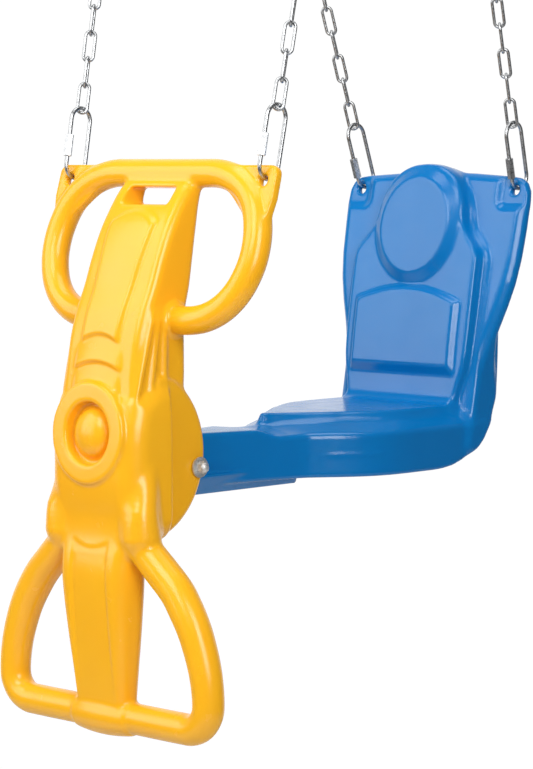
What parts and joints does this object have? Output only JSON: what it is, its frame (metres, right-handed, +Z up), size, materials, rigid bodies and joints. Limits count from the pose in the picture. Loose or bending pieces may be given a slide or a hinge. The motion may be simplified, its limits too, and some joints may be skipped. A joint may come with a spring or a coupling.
{
  "type": "glider swing",
  "caption": "Back-and-forth glider swing: straddle seat with a high back, joined to a column with a handlebar and foot bar, hung on chains with quick links.",
  "frame": {"origin": "centre of the four hangers, level with the tops of the eye bolt collars", "axes": "+Z up, +Y towards the back of the seat, so the rider faces -Y, and -X is on the rider's right"},
  "size_m": [0.3732, 0.6431, 1.065],
  "materials": {
    "yellow_plastic": "glossy moulded polyethylene, yellow",
    "blue_plastic": "glossy moulded polyethylene, blue",
    "zinc_steel": "bright zinc plate"
  },
  "bodies": {
    "root": {"front_left_eye_bolt": "zinc_steel", "front_right_eye_bolt": "zinc_steel", "rear_left_eye_bolt": "zinc_steel", "rear_right_eye_bolt": "zinc_steel"},
    "front_left_line": {"front_left_chain": "zinc_steel", "front_left_link": "zinc_steel", "front_left_top_link": "zinc_steel"},
    "front_right_line": {"front_right_chain": "zinc_steel", "front_right_link": "zinc_steel", "front_right_top_link": "zinc_steel"},
    "rear_left_line": {"rear_left_chain": "zinc_steel", "rear_left_link": "zinc_steel", "rear_left_top_link": "zinc_steel"},
    "rear_right_line": {"rear_right_chain": "zinc_steel", "rear_right_link": "zinc_steel", "rear_right_top_link": "zinc_steel"},
    "glider": {"front_column": "yellow_plastic", "seat": "blue_plastic", "main_bolt": "zinc_steel", "bolt_washer_left": "zinc_steel", "bolt_washer_right": "zinc_steel", "cap_nut": "zinc_steel"},
    "front_left_sleeve": {"front_left_sleeve": "zinc_steel"},
    "front_left_top_sleeve": {"front_left_top_sleeve": "zinc_steel"},
    "front_right_sleeve": {"front_right_sleeve": "zinc_steel"},
    "front_right_top_sleeve": {"front_right_top_sleeve": "zinc_steel"},
    "rear_left_sleeve": {"rear_left_sleeve": "zinc_steel"},
    "rear_left_top_sleeve": {"rear_left_top_sleeve": "zinc_steel"},
    "rear_right_sleeve": {"rear_right_sleeve": "zinc_steel"},
    "rear_right_top_sleeve": {"rear_right_top_sleeve": "zinc_steel"}
  },
  "joints": [
    {"name": "glide", "type": "hinge", "parent": "root", "child": "front_left_line", "pos_m": [-0.17056, -0.16416, -0.07451], "axis": [1, 0, 0], "range_deg": [-12, 12]},
    {"name": "glider_pitch", "type": "hinge", "parent": "front_left_line", "child": "glider", "pos_m": [-0.16126, -0.22089, -0.36998], "axis": [1, 0, 0], "range_deg": [-12, 12]},
    {"name": "front_left_sleeve_slide", "type": "slide", "parent": "front_left_line", "child": "front_left_sleeve", "axis": [-0.0294, 0.1885, 0.9816], "range_m": [0, 0.012]},
    {"name": "front_left_top_sleeve_slide", "type": "slide", "parent": "front_left_line", "child": "front_left_top_sleeve", "axis": [-0.0294, 0.1885, 0.9816], "range_m": [0, 0.012]},
    {"name": "front_right_swing", "type": "hinge", "parent": "root", "child": "front_right_line", "pos_m": [0.17056, -0.16416, -0.07451], "axis": [1, 0, 0], "range_deg": [-12, 12]},
    {"name": "front_right_sleeve_slide", "type": "slide", "parent": "front_right_line", "child": "front_right_sleeve", "axis": [0.0294, 0.1885, 0.9816], "range_m": [0, 0.012]},
    {"name": "front_right_top_sleeve_slide", "type": "slide", "parent": "front_right_line", "child": "front_right_top_sleeve", "axis": [0.0294, 0.1885, 0.9816], "range_m": [0, 0.012]},
    {"name": "rear_left_swing", "type": "hinge", "parent": "root", "child": "rear_left_line", "pos_m": [-0.1509, 0.16416, -0.034], "axis": [1, 0, 0], "range_deg": [-12, 12]},
    {"name": "rear_left_sleeve_slide", "type": "slide", "parent": "rear_left_line", "child": "rear_left_sleeve", "axis": [-0.0575, -0.2781, 0.9588], "range_m": [0, 0.012]},
    {"name": "rear_left_top_sleeve_slide", "type": "slide", "parent": "rear_left_line", "child": "rear_left_top_sleeve", "axis": [-0.0575, -0.2781, 0.9588], "range_m": [0, 0.012]},
    {"name": "rear_right_swing", "type": "hinge", "parent": "root", "child": "rear_right_line", "pos_m": [0.1509, 0.16416, -0.034], "axis": [1, 0, 0], "range_deg": [-12, 12]},
    {"name": "rear_right_sleeve_slide", "type": "slide", "parent": "rear_right_line", "child": "rear_right_sleeve", "axis": [0.0575, -0.2781, 0.9588], "range_m": [0, 0.012]},
    {"name": "rear_right_top_sleeve_slide", "type": "slide", "parent": "rear_right_line", "child": "rear_right_top_sleeve", "axis": [0.0575, -0.2781, 0.9588], "range_m": [0, 0.012]}
  ],
  "couplings": [
    {"joint": "glider_pitch", "follows": "glide", "ratio": -0.705},
    {"joint": "front_right_swing", "follows": "glide", "ratio": 1},
    {"joint": "rear_left_swing", "follows": "glide", "ratio": 0.855},
    {"joint": "rear_right_swing", "follows": "glide", "ratio": 0.855}
  ]
}
